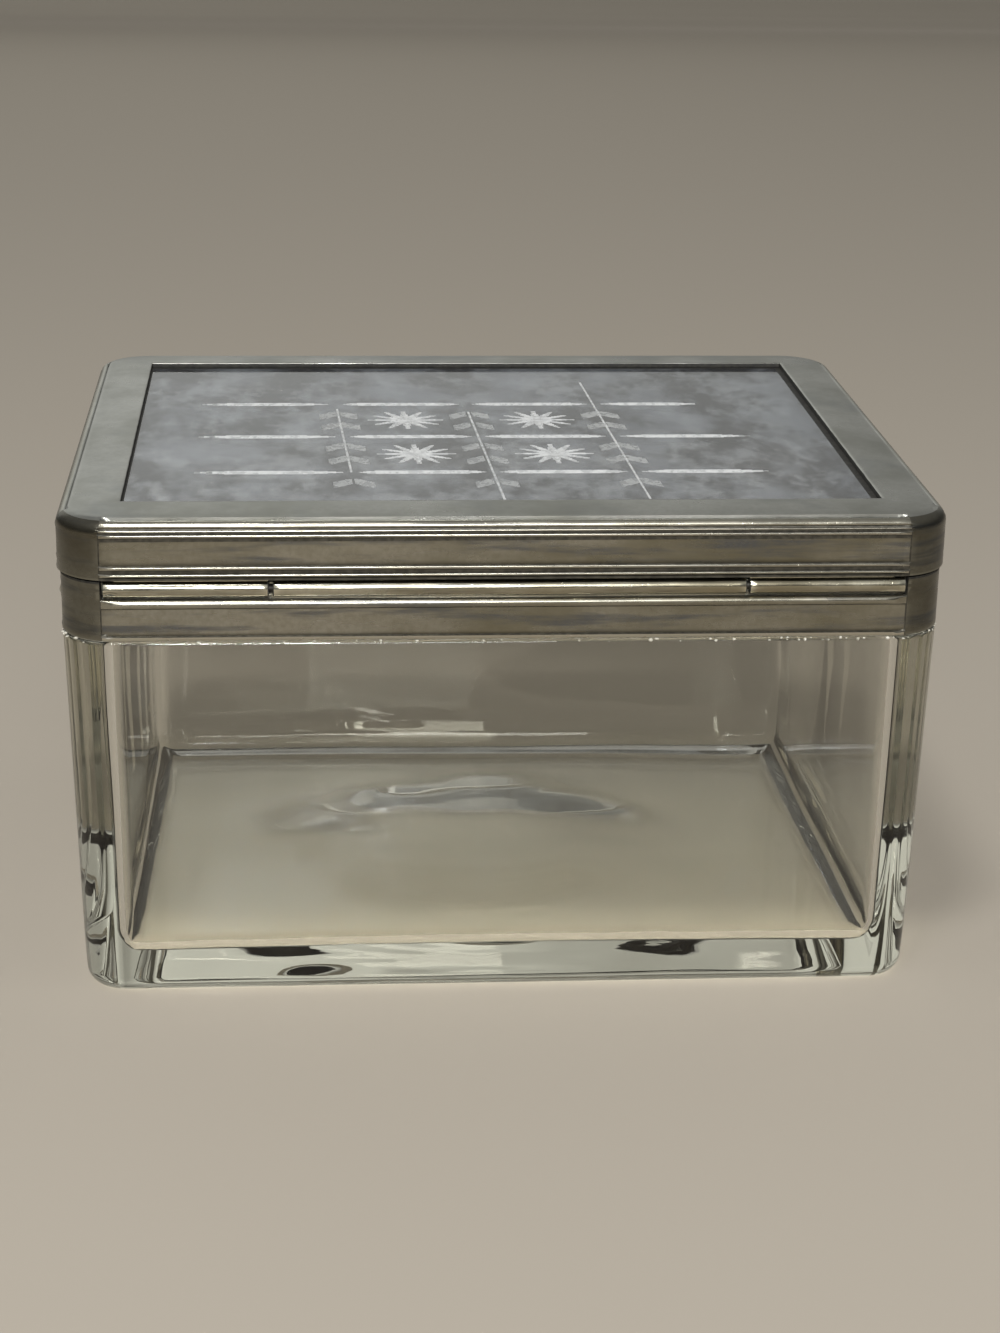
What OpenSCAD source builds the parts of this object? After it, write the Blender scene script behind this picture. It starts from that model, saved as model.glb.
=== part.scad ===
// Glass casket box: a thick glass tray, a plated collar bedded on its rim, and a hinged lid
// that frames a cut glass pane. Millimetres. +Z is up, the hinge lies along X on the -Y side,
// and the origin is under the middle of the tray, on the surface it stands on.

/* [Lid] */
// Outer width of the lid, along the hinge
lid_w = 134.5; // [115:0.5:180]
// Outer depth of the lid
lid_d = 111; // [90:1:150]
// Height of the skirt, border included
lid_h = 9.5; // [9:0.1:14]
// Radius of the upright corners in plan
corner_r = 9; // [7:0.5:9.5]
// Length of each side that stays plain beside a corner, on lid and collar
plain_end = 7; // [6.5:0.1:9]
// Width of the flat border round the window
border_w = 9.7; // [9:0.1:16]
// Thickness of the border
border_t = 0.9; // [0.6:0.1:1.5]
// Thickness of the skirt at its ribs
skirt_t = 0.9; // [0.7:0.1:1.4]
// Radius of the lid's rounded top edge
edge_r = 2.6; // [1.5:0.1:3]
// Height below the top at which the straight sides leave the rounded edge for ribs and field
edge_h = 1.6; // [1:0.1:2]
// Gap between the closed lid and the collar
lid_gap = 0.4; // [0.3:0.05:0.8]

/* [Ribs] */
// Depth of the fields between the ribs, on lid and collar
field_depth = 0.45; // [0.3:0.05:0.5]
// How far the ribs' crests stay below the plain corners
crest_back = 0.05; // [0.02:0.01:0.1]
// Radius of a thin rib
rib_r = 0.28; // [0.24:0.02:0.4]
// Spacing of ribs that lie side by side
rib_pitch = 1; // [0.8:0.05:1.3]
// Number of thin ribs under the lid's top edge
upper_ribs = 2; // [1:1:3]
// Number of thin ribs above the skirt's lower edge
lower_ribs = 2; // [1:1:3]
// Plain edge that is left below the lowest rib of the skirt
skirt_lip = 0.35; // [0.2:0.05:0.8]

/* [Pane] */
// Thickness of the glass pane
pane_t = 3.2; // [2:0.1:4]
// How far the pane reaches under the border
pane_lap = 4; // [3.5:0.1:4.5]
// Distance between the cuts of the lattice
cut_pitch = 22.3; // [16:0.1:26]
// Length of the cuts that run along the width
long_cut = 96; // [70:1:104]
// Length of the cuts that run along the depth
cross_cut = 68; // [50:1:80]
// Width of a cut
cut_w = 3.4; // [1.5:0.1:4.5]
// Depth of a cut
cut_depth = 0.5; // [0.2:0.05:0.8]
// How far the lattice lies to the right of the pane's middle
lattice_x = -1.4; // [-4:0.1:4]
// How far the lattice lies behind the pane's middle
lattice_y = -3.6; // [-5:0.1:5]

/* [Pane bezel] */
// Thickness of the strip that frames the pane
bezel_t = 0.6; // [0.4:0.05:0.9]
// Clearance between the pane's edge and the strip
pane_play = 0.1; // [0.05:0.05:0.3]
// Width of a tab
tab_w = 8; // [5:0.5:10]
// Reach of a tab under the pane
tab_reach = 2.8; // [2:0.1:3.2]
// Number of tabs on each long side
tabs_long = 4; // [2:1:5]
// Number of tabs on each short side
tabs_short = 3; // [2:1:4]

/* [Hinge] */
// Outer diameter of the barrel
barrel_d = 2.6; // [2.4:0.1:3]
// Diameter of the hinge pin
pin_d = 1.4; // [1:0.1:1.6]
// Radial clearance of the pin in the lid's knuckles
pin_play = 0.05; // [0.02:0.01:0.1]
// Radial clearance of the pin where it is held, in the collar's knuckle
pin_grip = 0.02; // [0.01:0.01:0.05]
// Length of the left knuckle
left_knuckle = 24.4; // [15:0.1:35]
// Length of the right knuckle
right_knuckle = 23.7; // [15:0.1:35]
// Gap between two knuckles
knuckle_gap = 0.4; // [0.2:0.05:0.8]
// Gap between the barrel and the metal round it
barrel_gap = 0.3; // [0.3:0.05:0.5]
// How far the pin's ends stand back inside the barrel
pin_back = 0.1; // [0:0.05:0.5]
// Thickness of the hinge leaves
leaf_t = 0.5; // [0.3:0.05:0.7]
// Height of a lid leaf above the skirt's lower edge
lid_leaf = 3.4; // [2:0.1:4]
// Height of the collar's bare wall under its leaf
collar_leaf_rise = 1.5; // [0.5:0.1:3]

/* [Collar] */
// Height of the collar
collar_h = 9.1; // [8.6:0.1:13]
// How far the collar stands back from the lid, each side
collar_inset = 0.45; // [0.3:0.05:1]
// Thickness of the collar's wall
collar_t = 0.9; // [0.7:0.1:1.2]
// Radius of the bead under the barrel
bead_r = 0.75; // [0.5:0.05:0.8]
// How far the bead stands out from the plain corners
bead_out = 0.25; // [0.1:0.05:0.4]
// Height of the plain edge at the collar's foot
foot_lip = 0.55; // [0.3:0.05:1]
// Thickness of the ring that covers the glass rim
ring_t = 0.8; // [0.5:0.1:1.2]
// How far the ring's inner edge stands back from the glass
ring_back = 0.2; // [0:0.05:0.6]

/* [Glass body] */
// Height of the glass up to the shoulder under the collar
glass_h = 58.7; // [40:0.1:90]
// How far the shoulder stands back from the collar, each side
glass_inset = 0.15; // [0:0.05:0.5]
// Plan radius of the glass corners at the shoulder
glass_r = 8; // [6:0.5:12]
// Taper of the outer walls, each side, from shoulder to foot
glass_taper = 1.7; // [0:0.05:3]
// Rounding of the foot's edge
foot_r = 3; // [1.5:0.1:4]
// Thickness of the wall at the shoulder
wall_t = 7.2; // [5:0.1:8]
// Taper of the inner walls, each side, from rim to floor
cavity_taper = 1; // [0:0.1:4]
// Plan radius of the cavity's corners
cavity_r = 5; // [4.5:0.1:7]
// Radius where the inner walls meet the floor
floor_fillet = 4; // [1:0.1:4]
// Thickness of the floor
floor_t = 5; // [4:0.1:10]
// How far the neck inside the collar is ground back, each side
neck_inset = 2.4; // [2.2:0.1:2.8]
// Thickness of the bedding that shows between shoulder and collar
bedding = 0.3; // [0.2:0.05:0.6]

/* [Hidden] */
$fn = 64;
hull_fn = 32;
past = 1; // how far a cutter runs past the surface it cuts
lap = 0.6; // how far two parts of one solid run into each other
rib_root = 0.05; // how far a rib beside a plain edge runs into it

// Levels, from the foot up
collar_z = glass_h + bedding;
collar_top = collar_z + collar_h;
lid_z = collar_top + lid_gap;
lid_top = lid_z + lid_h;
rim_z = collar_top - ring_t;
pane_top = lid_top - border_t;
pane_z = pane_top - pane_t;

// Hinge axis, level with the lid's ribs on the -Y side
barrel_r = barrel_d / 2;
hinge_y = barrel_r - lid_d / 2;
hinge_z = lid_z - barrel_gap - barrel_r;
side_len = lid_w - 2 * plain_end; // stretch between the plain ends, which the barrel fills
barrel_len = side_len - 2 * barrel_gap;
left_x = -barrel_len / 2;
right_x = barrel_len / 2 - right_knuckle;
middle_x = left_x + left_knuckle + knuckle_gap;
middle_knuckle = right_x - knuckle_gap - middle_x;
leaf_end = lid_w / 2 - corner_r; // how far out the inside of the skirt is flat
barrel_floor = hinge_z - barrel_r - barrel_gap;

// Plan sizes
window_w = lid_w - 2 * border_w;
window_d = lid_d - 2 * border_w;
pane_w = window_w + 2 * pane_lap;
pane_d = window_d + 2 * pane_lap;
collar_w = lid_w - 2 * collar_inset;
collar_d = lid_d - 2 * collar_inset;
collar_r = corner_r - collar_inset;
inner_w = collar_w - 2 * collar_t;
inner_d = collar_d - 2 * collar_t;
inner_r = collar_r - collar_t;
glass_w = collar_w - 2 * glass_inset;
glass_d = collar_d - 2 * glass_inset;
neck_w = glass_w - 2 * neck_inset;
neck_d = glass_d - 2 * neck_inset;
neck_r = glass_r - neck_inset;
mouth_w = glass_w - 2 * wall_t;
mouth_d = glass_d - 2 * wall_t;

// Flat rectangle with rounded corners
module rounded(w, d, r) {
    square([w - 2 * r, d], center = true);
    square([w, d - 2 * r], center = true);
    for (x = [-1, 1], y = [-1, 1])
        translate([x * (w / 2 - r), y * (d / 2 - r)])
            circle(r);
}

// Runs a section (x outwards, y up) along the four sides of a rectangle, up to `end` from its corners
module along_sides(w, d, end) {
    for (i = [0 : 3]) {
        reach = i % 2 == 0 ? w / 2 : d / 2;
        run = (i % 2 == 0 ? d : w) - 2 * end;
        rotate([0, 0, 90 * i])
            translate([reach, run / 2, 0])
                rotate([90, 0, 0])
                    linear_extrude(run)
                        children();
    }
}

// The same section turned round the four corners; x = 0 of the section is the outer face
module round_corners(w, d, r) {
    for (i = [0 : 3]) {
        x = (i == 0 || i == 3 ? 1 : -1) * (w / 2 - r);
        y = (i < 2 ? 1 : -1) * (d / 2 - r);
        translate([x, y, 0])
            rotate([0, 0, 90 * i])
                rotate_extrude(angle = 90)
                    translate([r, 0])
                        children();
    }
}

// Row of thin ribs in the section, counted upwards from height z
module rib_row(z, n) {
    for (i = [0 : n - 1])
        translate([-rib_r - crest_back, z + i * rib_pitch])
            circle(rib_r);
}

// One knuckle of the barrel: a tube from x with a leaf of its own; the leaf is the child
module knuckle(x, run, play) {
    difference() {
        union() {
            translate([x, hinge_y, hinge_z])
                rotate([0, 90, 0])
                    cylinder(h = run, r = barrel_r);
            children();
        }
        translate([x - past, hinge_y, hinge_z])
            rotate([0, 90, 0])
                cylinder(h = run + 2 * past, r = pin_d / 2 + play);
    }
}

// Section of a block's edge, as wide as w: square below, rounded at the top
module edge_section(w, h, r) {
    translate([-w, 0])
        square([w, h - r]);
    translate([-w, 0])
        square([w - r, h]);
    intersection() {
        translate([-r, h - r])
            circle(r);
        translate([-r, h - r])
            square([2 * r, 2 * r]);
    }
}

// Block with rounded corners and a rounded top edge
module domed_block(w, d, corner, h, edge) {
    core = edge + lap / 2; // how far the flat-topped core stands in from the outer face
    linear_extrude(h)
        rounded(w - 2 * core, d - 2 * core, corner - core);
    along_sides(w, d, corner)
        edge_section(edge + lap, h, edge);
    round_corners(w, d, corner)
        edge_section(edge + lap, h, edge);
}

// What is taken off the skirt's straight stretches to leave the ribs standing
module lid_fields() {
    lowest = skirt_lip + rib_r - rib_root;
    highest = lid_h - edge_h - rib_r + rib_root - (upper_ribs - 1) * rib_pitch;
    difference() {
        translate([-field_depth, skirt_lip])
            square([field_depth + past, lid_h - edge_h - skirt_lip]);
        rib_row(lowest, lower_ribs);
        rib_row(highest, upper_ribs);
    }
}

module lid_frame() {
    color("#9a9a90")
        translate([0, 0, lid_z])
            difference() {
                domed_block(lid_w, lid_d, corner_r, lid_h, edge_r);
                translate([0, 0, -past])
                    domed_block(lid_w - 2 * skirt_t, lid_d - 2 * skirt_t, corner_r - skirt_t,
                                lid_h - border_t + past, edge_r - skirt_t);
                linear_extrude(lid_h + past)
                    square([window_w, window_d], center = true);
                along_sides(lid_w, lid_d, plain_end)
                    lid_fields();
            }
}

// Shallow hollow cut along X, centred, that runs out to nothing at both ends
module tapered_cut(run) {
    wheel_r = (cut_w * cut_w / 4 + cut_depth * cut_depth) / (2 * cut_depth);
    level = wheel_r - cut_depth; // height of the cutter's axis over the glass
    run_out = run / 4;
    translate([0, 0, level])
        rotate([0, 90, 0]) {
            translate([0, 0, -run / 2 + run_out])
                cylinder(h = run - 2 * run_out, r = wheel_r);
            for (m = [0, 1])
                mirror([0, 0, m])
                    translate([0, 0, run / 2 - run_out])
                        cylinder(h = run_out, r1 = wheel_r, r2 = level);
        }
}

module lid_pane() {
    color("#8b9396")
        difference() {
            translate([-pane_w / 2, -pane_d / 2, pane_z])
                cube([pane_w, pane_d, pane_t]);
            for (i = [-1 : 1])
                translate([lattice_x, lattice_y + i * cut_pitch, pane_top])
                    tapered_cut(long_cut);
            for (i = [-1 : 1])
                translate([lattice_x + i * cut_pitch, lattice_y, pane_top])
                    rotate([0, 0, 90])
                        tapered_cut(cross_cut);
        }
}

// Tabs of one side in a row along Y, bent in towards -X from the strip, whose inner face is at x = 0
module tab_row(n, run) {
    step = run / n;
    reach = tab_reach + pane_play;
    root = bezel_t / 2; // how far a tab runs into the strip
    for (i = [0 : n - 1])
        translate([-reach, (i + 0.5) * step - run / 2 - tab_w / 2, 0])
            cube([reach + root, tab_w, bezel_t]);
}

module pane_bezel() {
    strip_w = pane_w + 2 * pane_play;
    strip_d = pane_d + 2 * pane_play;
    color("#7d7a6c")
        translate([0, 0, pane_z - bezel_t]) {
            linear_extrude(pane_t + bezel_t)
                difference() {
                    square([strip_w + 2 * bezel_t, strip_d + 2 * bezel_t], center = true);
                    square([strip_w, strip_d], center = true);
                }
            for (m = [0, 1]) {
                mirror([m, 0, 0])
                    translate([strip_w / 2, 0, 0])
                        tab_row(tabs_short, strip_d);
                mirror([0, m, 0])
                    translate([0, strip_d / 2, 0])
                        rotate([0, 0, 90])
                            tab_row(tabs_long, strip_w);
            }
        }
}

// Leaf of a lid knuckle: it stands against the inside of the skirt
module leaf_plate(x1, x2) {
    translate([x1, skirt_t - lid_d / 2, hinge_z])
        cube([x2 - x1, leaf_t, lid_z + lid_leaf - hinge_z]);
}

module lid_knuckle_left() {
    color("#b8b4a2")
        knuckle(left_x, left_knuckle, pin_play)
            leaf_plate(-leaf_end, left_x + left_knuckle);
}

module lid_knuckle_right() {
    color("#b8b4a2")
        knuckle(right_x, right_knuckle, pin_play)
            leaf_plate(right_x, leaf_end);
}

module collar_leaf() {
    foot = collar_z + collar_leaf_rise;
    translate([middle_x, -inner_d / 2, foot])
        cube([middle_knuckle, leaf_t, hinge_z - foot]);
}

module collar_knuckle() {
    color("#b8b4a2")
        knuckle(middle_x, middle_knuckle, pin_grip)
            collar_leaf();
}

module hinge_pin() {
    run = barrel_len - 2 * pin_back;
    color("#55534a")
        translate([-run / 2, hinge_y, hinge_z])
            rotate([0, 90, 0])
                cylinder(h = run, d = pin_d);
}

// Section of the bead, kept off the inside of the wall
module bead_section() {
    bead_z = barrel_floor - bead_r - collar_z;
    intersection() {
        translate([bead_out - bead_r, bead_z])
            circle(bead_r);
        translate([-collar_t, bead_z - bead_r])
            square([collar_t + bead_out, 2 * bead_r]);
    }
}

// What is taken off the collar's straight stretches beside the bead and the thin ribs
module collar_fields(ribs) {
    difference() {
        translate([-field_depth, foot_lip])
            square([field_depth + past, collar_h - foot_lip + past]);
        bead_section();
        rib_row(collar_h - rib_r + rib_root - (ribs - 1) * rib_pitch, ribs);
    }
}

module collar_band() {
    color("#77735f")
        translate([0, 0, collar_z])
            difference() {
                union() {
                    linear_extrude(collar_h)
                        difference() {
                            rounded(collar_w, collar_d, collar_r);
                            rounded(inner_w, inner_d, inner_r);
                        }
                    along_sides(collar_w, collar_d, plain_end - collar_inset)
                        bead_section();
                }
                along_sides(collar_w, collar_d, plain_end - collar_inset)
                    collar_fields(upper_ribs);
                translate([-side_len / 2, -collar_d / 2 - past, barrel_floor - collar_z])
                    cube([side_len, collar_t + 2 * past, collar_h]);
            }
}

// Flat ring inside the collar's top; it stands back behind the barrel
module rim_ring() {
    notch_y = hinge_y + barrel_r + barrel_gap;
    color("#a19c88")
        difference() {
            translate([0, 0, rim_z])
                linear_extrude(ring_t)
                    difference() {
                        rounded(inner_w, inner_d, inner_r);
                        rounded(mouth_w + 2 * ring_back, mouth_d + 2 * ring_back, cavity_r + ring_back);
                    }
            translate([-side_len / 2, notch_y - collar_d, rim_z - past])
                cube([side_len, collar_d, ring_t + 2 * past]);
        }
}

module rim_cement() {
    top = barrel_floor - barrel_gap;
    color("#cfcabb")
        difference() {
            translate([0, 0, glass_h])
                linear_extrude(top - glass_h)
                    difference() {
                        rounded(inner_w, inner_d, inner_r);
                        rounded(neck_w, neck_d, neck_r);
                    }
            collar_leaf();
        }
}

// Round post with a rounded lower edge, a corner of the glass or of its cavity
module soft_post(r, edge, h) {
    rotate_extrude($fn = hull_fn) {
        square([r - edge, h]);
        translate([0, edge])
            square([r, h - edge]);
        intersection() {
            translate([r - edge, edge])
                circle(edge, $fn = hull_fn);
            square([r, h]);
        }
    }
}

// Block that widens from the lower size to the upper one, with rounded corners and foot
module tapered_block(w, d, r, edge, taper, h) {
    slice = edge + 0.5;
    hull()
        for (x = [-1, 1], y = [-1, 1]) {
            translate([x * (w / 2 - r - taper), y * (d / 2 - r - taper), 0])
                soft_post(r, edge, slice);
            translate([x * (w / 2 - r), y * (d / 2 - r), h - slice])
                cylinder(h = slice, r = r, $fn = hull_fn);
        }
}

module glass_body() {
    color("#c9cdbf", 0.5)
        difference() {
            union() {
                tapered_block(glass_w, glass_d, glass_r, foot_r, glass_taper, glass_h);
                translate([0, 0, glass_h - past])
                    linear_extrude(rim_z - glass_h + past)
                        rounded(neck_w, neck_d, neck_r);
            }
            translate([0, 0, floor_t])
                tapered_block(mouth_w, mouth_d, cavity_r, floor_fillet, cavity_taper,
                              rim_z - floor_t + past);
        }
}

glass_body();
rim_cement();
collar_band();
rim_ring();
collar_knuckle();
hinge_pin();
lid_frame();
pane_bezel();
lid_pane();
lid_knuckle_left();
lid_knuckle_right();
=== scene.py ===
import math
import random

import bmesh
import bpy
from mathutils import Matrix, Vector, noise


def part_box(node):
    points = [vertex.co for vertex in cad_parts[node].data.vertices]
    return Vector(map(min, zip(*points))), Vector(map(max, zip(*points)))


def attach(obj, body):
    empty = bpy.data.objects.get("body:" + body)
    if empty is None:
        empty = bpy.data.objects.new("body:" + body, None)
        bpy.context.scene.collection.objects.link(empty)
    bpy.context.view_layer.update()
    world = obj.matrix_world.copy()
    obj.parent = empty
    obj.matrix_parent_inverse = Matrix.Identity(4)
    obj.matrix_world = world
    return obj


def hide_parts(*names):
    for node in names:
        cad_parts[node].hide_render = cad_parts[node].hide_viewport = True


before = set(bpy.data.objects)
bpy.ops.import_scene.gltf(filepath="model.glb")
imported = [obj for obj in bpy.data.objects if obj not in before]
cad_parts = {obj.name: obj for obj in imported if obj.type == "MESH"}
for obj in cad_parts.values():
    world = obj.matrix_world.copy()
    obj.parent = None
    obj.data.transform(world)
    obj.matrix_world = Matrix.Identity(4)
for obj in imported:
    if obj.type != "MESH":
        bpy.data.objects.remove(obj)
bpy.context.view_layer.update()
mm = 0.001

# places that every piece shares, read from the fixed frame
lidLow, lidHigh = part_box("lid_frame")
collarLow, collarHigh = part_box("collar_band")
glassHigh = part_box("glass_body")[1]
paneLow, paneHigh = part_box("lid_pane")
bezelLow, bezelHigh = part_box("pane_bezel")
barrelLow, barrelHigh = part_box("collar_knuckle")
leftLow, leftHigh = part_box("lid_knuckle_left")
rightLow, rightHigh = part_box("lid_knuckle_right")
print("frame: lid", [round(v * 1000, 2) for v in (*lidLow, *lidHigh)])


def wobble(x, y, z, size, seed):
    # smooth noise from -1 to 1 whose lumps are about `size` across
    return noise.noise(Vector((x, y, z)) / size + Vector((seed, 3.7 * seed, 1.3)))


def ease(value, low, high):
    share = min(1.0, max(0.0, (value - low) / (high - low)))
    return share * share * (3 - 2 * share)


def ringStations(halfX, halfY, radius, step, cornerSteps, plainEnd=None):
    # stops round a rounded rectangle, anticlockwise from the +X side: (side, share, angle, pressed);
    # pressed stops lie in the panel, which ends `plainEnd` from the corner, already on the round stretch
    reach = math.degrees(math.asin((radius - plainEnd) / radius)) if plainEnd else 0
    stops = []
    for side in range(4):
        half = (halfY if side % 2 == 0 else halfX) - radius
        count = round(2 * half / step)
        stops += [(side, -1 + 2 * i / count, None, bool(plainEnd)) for i in range(count + 1)]
        if plainEnd:
            stops += [(side, None, reach * 0.5, True), (side, None, reach, True)]
            stops.append((side, None, reach + 1, False))
        first, last = (reach + 1, 89 - reach) if plainEnd else (0, 90)
        for i in range(1, cornerSteps):
            stops.append((side, None, first + (last - first) * i / cornerSteps, False))
        if plainEnd:
            stops.append((side, None, 89 - reach, False))
            stops += [(side, None, 90 - reach, True), (side, None, 90 - reach * 0.5, True)]
    return stops


def ringSpot(stop, halfX, halfY, radius, inset, tightest=0.25 * mm):
    # where a stop lies once the outline has moved in by `inset`
    side, share, angle, _ = stop
    left = max(radius - inset, tightest)
    cornerX, cornerY = halfX - inset - left, halfY - inset - left
    if share is None:
        signX = 1 if side in (0, 3) else -1
        signY = 1 if side < 2 else -1
        turn = math.radians(90 * side + angle)
        return signX * cornerX + left * math.cos(turn), signY * cornerY + left * math.sin(turn)
    if side == 0:
        return halfX - inset, share * cornerY
    if side == 1:
        return -share * cornerX, halfY - inset
    if side == 2:
        return inset - halfX, -share * cornerY
    return share * cornerX, inset - halfY


def pressedDepth(stop, depth, left):
    # the panel is pressed flat, so on the round stretch it comes out to meet the corner
    if not stop[3]:
        return 0.0
    if stop[2] is None:
        return depth
    bend = math.radians(min(stop[2], 90 - stop[2]))
    return max(0.0, depth - left * (1 - math.cos(bend)))


# which finish a face of the lid or the collar has
# the seam shade tag marks painted shade in gaps and joints; the hollow tag marks tarnish with painted shade
panelTag, borderTag, innerTag, seamShadeTag, hollowTarnishShadeTag, cornerTag = range(6)


def sideTag(tag, stop, following):
    # the face between two stops: panel, step at the panel's end (tarnish with painted shade), or plain corner
    if tag not in (panelTag, hollowTarnishShadeTag) or stop[3] and following[3]:
        return tag
    return hollowTarnishShadeTag if stop[3] or following[3] else cornerTag


def sideSlots(tags, stops):
    return [sideTag(tag, here, there) for tag in tags for here, there in zip(stops, stops[1:] + stops[:1])]


def newPiece(name, verts, faces, body, stands, materials, sharp, faceMaterials=None):
    mesh = bpy.data.meshes.new(name)
    mesh.from_pydata(verts, [], faces)
    for material in materials:
        mesh.materials.append(material)
    if faceMaterials:
        mesh.polygons.foreach_set("material_index", faceMaterials)
    bm = bmesh.new()
    bm.from_mesh(mesh)
    bmesh.ops.recalc_face_normals(bm, faces=bm.faces)
    for face in bm.faces:
        face.smooth = True
    for edge in bm.edges:
        if len(edge.link_faces) == 2:
            edge.smooth = edge.calc_face_angle() < math.radians(sharp)
    bm.to_mesh(mesh)
    bm.free()
    piece = bpy.data.objects.new(name, mesh)
    bpy.context.scene.collection.objects.link(piece)
    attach(piece, body)
    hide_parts(*stands)


def ringFaces(rows, count, loop=True):
    # quads between neighbouring rings of `count` points; loop joins the last ring to the first
    faces = []
    for i in range(rows if loop else rows - 1):
        here, there = i * count, (i + 1) % rows * count
        for j in range(count):
            k = (j + 1) % count
            faces.append((here + j, here + k, there + k, there + j))
    return faces


def addShape(verts, faces, bm):
    # appends a small mesh to the one that is being listed
    bm.verts.index_update()
    start = len(verts)
    verts.extend(tuple(v.co) for v in bm.verts)
    faces.extend(tuple(start + v.index for v in f.verts) for f in bm.faces)
    bm.free()


def addBlock(verts, faces, low, high, soft):
    # a bevelled box
    bm = bmesh.new()
    bmesh.ops.create_cube(bm, size=1)
    middle = [(a + b) / 2 for a, b in zip(low, high)]
    size = [b - a for a, b in zip(low, high)]
    bmesh.ops.scale(bm, vec=size, verts=bm.verts)
    bmesh.ops.translate(bm, vec=middle, verts=bm.verts)
    bmesh.ops.bevel(bm, geom=bm.edges[:] + bm.verts[:], offset=soft, segments=2,
                    affect="EDGES", profile=0.5)
    addShape(verts, faces, bm)


class Finish:
    # a material with short calls for the nodes that it needs
    def __init__(self, name):
        self.material = bpy.data.materials.new(name)
        self.material.use_nodes = True
        self.tree = self.material.node_tree
        self.shader = self.tree.nodes["Principled BSDF"]
        self.out = self.tree.nodes["Material Output"]
        self.spot = self.add("TexCoord").outputs["Object"]

    def add(self, kind, **settings):
        node = self.tree.nodes.new("ShaderNode" + kind)
        for key, value in settings.items():
            setattr(node, key, value)
        return node

    def link(self, source, target):
        self.tree.links.new(source, target)

    def grain(self, size, stretch=(1, 1, 1), detail=4.0, rough=0.55, seed=0.0):
        # noise whose lumps are about `size` metres across, drawn out along the axes by stretch
        place = self.add("Mapping")
        place.inputs["Location"].default_value = (seed, seed * 0.7, seed * 1.3)
        place.inputs["Scale"].default_value = [1 / (size * s) for s in stretch]
        self.link(self.spot, place.inputs["Vector"])
        lumps = self.add("TexNoise")
        lumps.inputs["Scale"].default_value = 1.0
        lumps.inputs["Detail"].default_value = detail
        lumps.inputs["Roughness"].default_value = rough
        self.link(place.outputs["Vector"], lumps.inputs["Vector"])
        return lumps.outputs["Fac"]

    def span(self, source, low, high, toLow=0.0, toHigh=1.0):
        node = self.add("MapRange")
        node.interpolation_type = "SMOOTHSTEP"
        for name, value in (("From Min", low), ("From Max", high), ("To Min", toLow), ("To Max", toHigh)):
            node.inputs[name].default_value = value
        self.link(source, node.inputs["Value"])
        return node.outputs["Result"]

    def mix(self, share, first, second):
        node = self.add("Mix", data_type="RGBA")
        self.link(share, node.inputs["Factor"])
        for socket, value in ((node.inputs[6], first), (node.inputs[7], second)):
            if isinstance(value, tuple):
                socket.default_value = (*value, 1)
            else:
                self.link(value, socket)
        return node.outputs[2]

    def sum(self, first, second, operation="ADD"):
        node = self.add("Math", operation=operation)
        for socket, value in ((node.inputs[0], first), (node.inputs[1], second)):
            if isinstance(value, (int, float)):
                socket.default_value = value
            else:
                self.link(value, socket)
        return node.outputs[0]

    def bump(self, height, strength, distance):
        node = self.add("Bump")
        node.inputs["Strength"].default_value = strength
        node.inputs["Distance"].default_value = distance
        self.link(height, node.inputs["Height"])
        self.link(node.outputs["Normal"], self.shader.inputs["Normal"])


def platedMetal(name, clean, tarnish, stain, roughLow, roughHigh, wear, cloud):
    # old plate: satin, tarnished in patches, rubbed bright where an edge stands up
    f = Finish(name)
    f.shader.inputs["Metallic"].default_value = 1.0
    patches = f.span(f.grain(cloud, (2.4, 2.4, 1), 5, 0.6), 0.36, 0.66)
    streaks = f.span(f.grain(2.4 * mm, (9, 9, 0.8), 4, 0.6, seed=4.1), 0.48, 0.7, 0, 0.85)
    mottle = f.span(f.grain(0.9 * mm, (1, 1, 1), 4, 0.65, seed=8.3), 0.3, 0.75, 0, 0.4)
    colour = f.mix(patches, clean, tarnish)
    colour = f.mix(streaks, colour, stain)
    colour = f.mix(mottle, colour, tarnish)
    edges = f.add("NewGeometry").outputs["Pointiness"]
    hollows = f.span(edges, 0.43, 0.495, 0.8, 0)
    colour = f.mix(hollows, colour, tuple(0.25 * c for c in tarnish))
    rubbed = f.span(edges, 0.505, 0.56, 0, wear)
    bright = tuple(min(1.0, c * 1.6) for c in clean)
    colour = f.mix(rubbed, colour, bright)
    f.link(colour, f.shader.inputs["Base Color"])
    rough = f.span(f.grain(3.5 * mm, (4, 4, 1), 5, 0.6, seed=2.2), 0.3, 0.7, roughLow, roughHigh)
    f.link(rough, f.shader.inputs["Roughness"])
    scratches = f.grain(0.16 * mm, (14, 14, 1), 3, 0.6, seed=5.5)
    dimples = f.span(f.grain(0.55 * mm, (1, 1, 1), 2, 0.5, seed=9.1), 0.26, 0.36)
    height = f.sum(f.sum(scratches, 0.25, "MULTIPLY"), f.sum(dimples, 0.35, "MULTIPLY"))
    f.bump(height, 0.35, 0.05 * mm)
    return f.material


def clearGlass(name, tint, density, absorb, shade):
    # shade is what one face lets through towards a lamp, so that the floor under the glass is lit
    f = Finish(name)
    f.shader.inputs["Base Color"].default_value = (*tint, 1)
    f.shader.inputs["Roughness"].default_value = 0.0
    f.shader.inputs["IOR"].default_value = 1.51
    f.shader.inputs["Transmission Weight"].default_value = 1.0
    body = f.add("VolumeAbsorption")
    body.inputs["Color"].default_value = (*absorb, 1)
    body.inputs["Density"].default_value = density
    f.link(body.outputs["Volume"], f.out.inputs["Volume"])
    through = f.add("BsdfTransparent")
    through.inputs["Color"].default_value = (*shade, 1)
    either = f.add("MixShader")
    f.link(f.add("LightPath").outputs["Is Shadow Ray"], either.inputs["Fac"])
    f.link(f.shader.outputs["BSDF"], either.inputs[1])
    f.link(through.outputs["BSDF"], either.inputs[2])
    f.link(either.outputs["Shader"], f.out.inputs["Surface"])
    return f.material


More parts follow.
